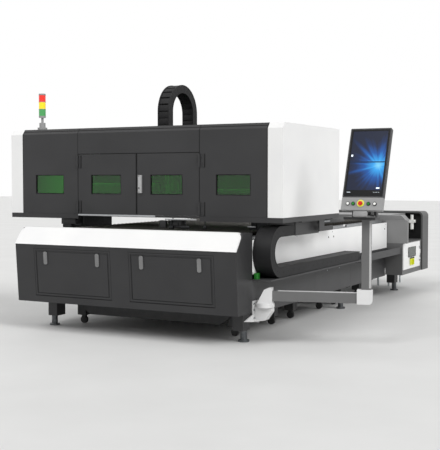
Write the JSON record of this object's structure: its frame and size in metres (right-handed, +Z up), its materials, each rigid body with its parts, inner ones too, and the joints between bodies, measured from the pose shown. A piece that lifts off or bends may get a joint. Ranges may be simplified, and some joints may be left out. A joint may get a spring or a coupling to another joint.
{
  "type": "gantry laser cutting machine",
  "caption": "Enclosed-gantry flatbed laser cutter: a travelling hood with doors and windows over a slatted bed, front cabinet, side energy chain, scrap carts and a swing-arm control console",
  "frame": {"origin": "on the floor below the middle of the machine's outline seen from above", "axes": "+Z up, -Y the front where the operator stands, +X to the operator's right towards the console"},
  "size_m": [4.3912, 6.606, 2.6944],
  "materials": {
    "charcoal_paint": "fine-textured powder coat",
    "white_paint": "satin powder coat",
    "grey_paint": "satin powder coat",
    "arm_paint": "satin paint",
    "machined_steel": "ground",
    "raw_steel": "mill finish, smoked by cutting",
    "zinc_steel": "zinc plated",
    "galvanised_sheet": "spangled",
    "chain_nylon": "moulded",
    "laser_window": "tinted acrylic",
    "signal_lens": "clear moulded",
    "handle_grey": "moulded",
    "panel_grey": "satin",
    "screen_glass": "polished",
    "button_red": "moulded",
    "button_green": "moulded",
    "button_white": "moulded",
    "stop_rubber": "moulded",
    "cart_sheet": "worn paint",
    "black_plastic": "moulded"
  },
  "bodies": {
    "base": {"bed_frame": "grey_paint", "levelling_feet": "zinc_steel", "side_panels": "white_paint", "side_skirts": "grey_paint", "slat_frame": "raw_steel", "support_slats": "raw_steel", "rails_and_racks": "machined_steel", "front_cabinet": "charcoal_paint", "cabinet_cowl": "white_paint", "chain_tray": "grey_paint", "chain_lower_run": "chain_nylon", "chain_stop": "stop_rubber", "rear_covers": "arm_paint", "control_box": "grey_paint", "rear_housing": "arm_paint", "exhaust_duct": "galvanised_sheet", "air_regulator": "button_white", "arm_bracket": "white_paint"},
    "gantry": {"gantry_beam": "grey_paint", "end_carriages": "machined_steel", "hood_base_rail": "charcoal_paint", "hood_front": "charcoal_paint", "hood_roof": "charcoal_paint", "hood_end_caps": "white_paint", "hood_windows": "laser_window", "tower_base": "black_plastic", "tower_lenses": "signal_lens", "chain_hanger": "charcoal_paint", "chain_upper_run": "chain_nylon"},
    "chain_turn": {"chain_bend": "chain_nylon"},
    "left_hood_leaf": {"hood_door_left": "charcoal_paint", "door_window_left": "laser_window"},
    "right_hood_leaf": {"hood_door_right": "charcoal_paint", "door_window_right": "laser_window", "door_grip": "handle_grey"},
    "carriage": {"cross_carriage": "machined_steel", "arch_chain": "chain_nylon"},
    "head": {"cutting_head": "machined_steel"},
    "left_cabinet_leaf": {"cabinet_door_left": "charcoal_paint"},
    "right_cabinet_leaf": {"cabinet_door_right": "charcoal_paint"},
    "latch_a": {"left_latch_1": "handle_grey"},
    "latch_b": {"left_latch_2": "handle_grey"},
    "latch_c": {"right_latch_1": "handle_grey"},
    "latch_d": {"right_latch_2": "handle_grey"},
    "arm": {"arm_castings": "white_paint", "arm_tubes": "arm_paint"},
    "yoke": {"head_yoke": "charcoal_paint"},
    "monitor": {"monitor_housing": "charcoal_paint", "monitor_glass": "screen_glass", "key_panel": "panel_grey"},
    "stop_button": {"emergency_stop": "button_red"},
    "key_a": {"key_white_left": "button_white"},
    "key_b": {"key_green_left": "button_green"},
    "key_c": {"key_green_right": "button_green"},
    "key_d": {"key_white_right": "button_white"},
    "control_leaf": {"control_door": "white_paint"},
    "switch": {"main_switch": "black_plastic"},
    "cart_front": {"scrap_cart_1": "cart_sheet"},
    "cart_middle": {"scrap_cart_2": "cart_sheet"},
    "cart_rear": {"scrap_cart_3": "cart_sheet"}
  },
  "joints": [
    {"name": "gantry_travel", "type": "slide", "parent": "base", "child": "gantry", "axis": [0, 1, 0], "range_m": [0, 3], "deforming": ["chain_lower_run", "chain_upper_run"]},
    {"name": "chain_turn_travel", "type": "slide", "parent": "gantry", "child": "chain_turn", "axis": [0, -1, 0], "range_m": [0, 1.5]},
    {"name": "carriage_travel", "type": "slide", "parent": "gantry", "child": "carriage", "axis": [1, 0, 0], "range_m": [-0.985, 1.015]},
    {"name": "head_lift", "type": "slide", "parent": "carriage", "child": "head", "axis": [0, 0, -1], "range_m": [0, 0.08], "deforming": ["arch_chain"]},
    {"name": "left_hood_door_swing", "type": "hinge", "parent": "gantry", "child": "left_hood_leaf", "pos_m": [-1.26263, -2.847, 0], "axis": [0, 0, 1], "range_deg": [-110, 0]},
    {"name": "right_hood_door_swing", "type": "hinge", "parent": "gantry", "child": "right_hood_leaf", "pos_m": [0.27137, -2.847, 0], "axis": [0, 0, 1], "range_deg": [0, 110]},
    {"name": "left_cabinet_door_drop", "type": "hinge", "parent": "base", "child": "left_cabinet_leaf", "pos_m": [-1.02363, -3.24586, 0.39869], "axis": [1, 0, 0], "range_deg": [0, 90]},
    {"name": "right_cabinet_door_drop", "type": "hinge", "parent": "base", "child": "right_cabinet_leaf", "pos_m": [0.18637, -3.24586, 0.39869], "axis": [1, 0, 0], "range_deg": [0, 90]},
    {"name": "latch_a_turn", "type": "hinge", "parent": "left_cabinet_leaf", "child": "latch_a", "pos_m": [-1.35963, -3.288, 0.84482], "axis": [0, -0.9974, -0.0718], "range_deg": [0, 90]},
    {"name": "latch_b_turn", "type": "hinge", "parent": "left_cabinet_leaf", "child": "latch_b", "pos_m": [-0.68963, -3.288, 0.84482], "axis": [0, -0.9974, -0.0718], "range_deg": [0, 90]},
    {"name": "latch_c_turn", "type": "hinge", "parent": "right_cabinet_leaf", "child": "latch_c", "pos_m": [-0.14963, -3.288, 0.84482], "axis": [0, -0.9974, -0.0718], "range_deg": [0, 90]},
    {"name": "latch_d_turn", "type": "hinge", "parent": "right_cabinet_leaf", "child": "latch_d", "pos_m": [0.52037, -3.288, 0.84482], "axis": [0, -0.9974, -0.0718], "range_deg": [0, 90]},
    {"name": "arm_swivel", "type": "hinge", "parent": "base", "child": "arm", "pos_m": [1.03437, -2.872, 0], "axis": [0, 0, 1], "range_deg": [-100, 40]},
    {"name": "console_swivel", "type": "hinge", "parent": "arm", "child": "yoke", "pos_m": [1.99063, -2.61577, 0], "axis": [0, 0, 1], "range_deg": [-90, 90]},
    {"name": "monitor_tilt", "type": "hinge", "parent": "yoke", "child": "monitor", "pos_m": [1.99063, -2.61577, 1.315], "axis": [1, 0, 0], "range_deg": [-15, 15]},
    {"name": "stop_press", "type": "slide", "parent": "monitor", "child": "stop_button", "axis": [0, 0.9397, -0.342], "range_m": [0, 0.006], "stiffness_N_per_m": 900, "springref_m": -0.001},
    {"name": "key_a_press", "type": "slide", "parent": "monitor", "child": "key_a", "axis": [0, 0.9397, -0.342], "range_m": [0, 0.004], "stiffness_N_per_m": 600, "springref_m": -0.001},
    {"name": "key_b_press", "type": "slide", "parent": "monitor", "child": "key_b", "axis": [0, 0.9397, -0.342], "range_m": [0, 0.004], "stiffness_N_per_m": 600, "springref_m": -0.001},
    {"name": "key_c_press", "type": "slide", "parent": "monitor", "child": "key_c", "axis": [0, 0.9397, -0.342], "range_m": [0, 0.004], "stiffness_N_per_m": 600, "springref_m": -0.001},
    {"name": "key_d_press", "type": "slide", "parent": "monitor", "child": "key_d", "axis": [0, 0.9397, -0.342], "range_m": [0, 0.004], "stiffness_N_per_m": 600, "springref_m": -0.001},
    {"name": "control_door_swing", "type": "hinge", "parent": "base", "child": "control_leaf", "pos_m": [1.15667, 2.155, 0], "axis": [0, 0, 1], "range_deg": [0, 110]},
    {"name": "main_switch_turn", "type": "hinge", "parent": "control_leaf", "child": "switch", "pos_m": [1.15667, 1.74, 0.474], "axis": [1, 0, 0], "range_deg": [0, 90]},
    {"name": "cart_front_roll", "type": "slide", "parent": "base", "child": "cart_front", "axis": [1, 0, 0], "range_m": [0, 2.2]},
    {"name": "cart_middle_roll", "type": "slide", "parent": "base", "child": "cart_middle", "axis": [1, 0, 0], "range_m": [0, 2.2]},
    {"name": "cart_rear_roll", "type": "slide", "parent": "base", "child": "cart_rear", "axis": [1, 0, 0], "range_m": [0, 2.2]}
  ],
  "couplings": [
    {"joint": "chain_turn_travel", "follows": "gantry_travel", "ratio": 0.5}
  ]
}
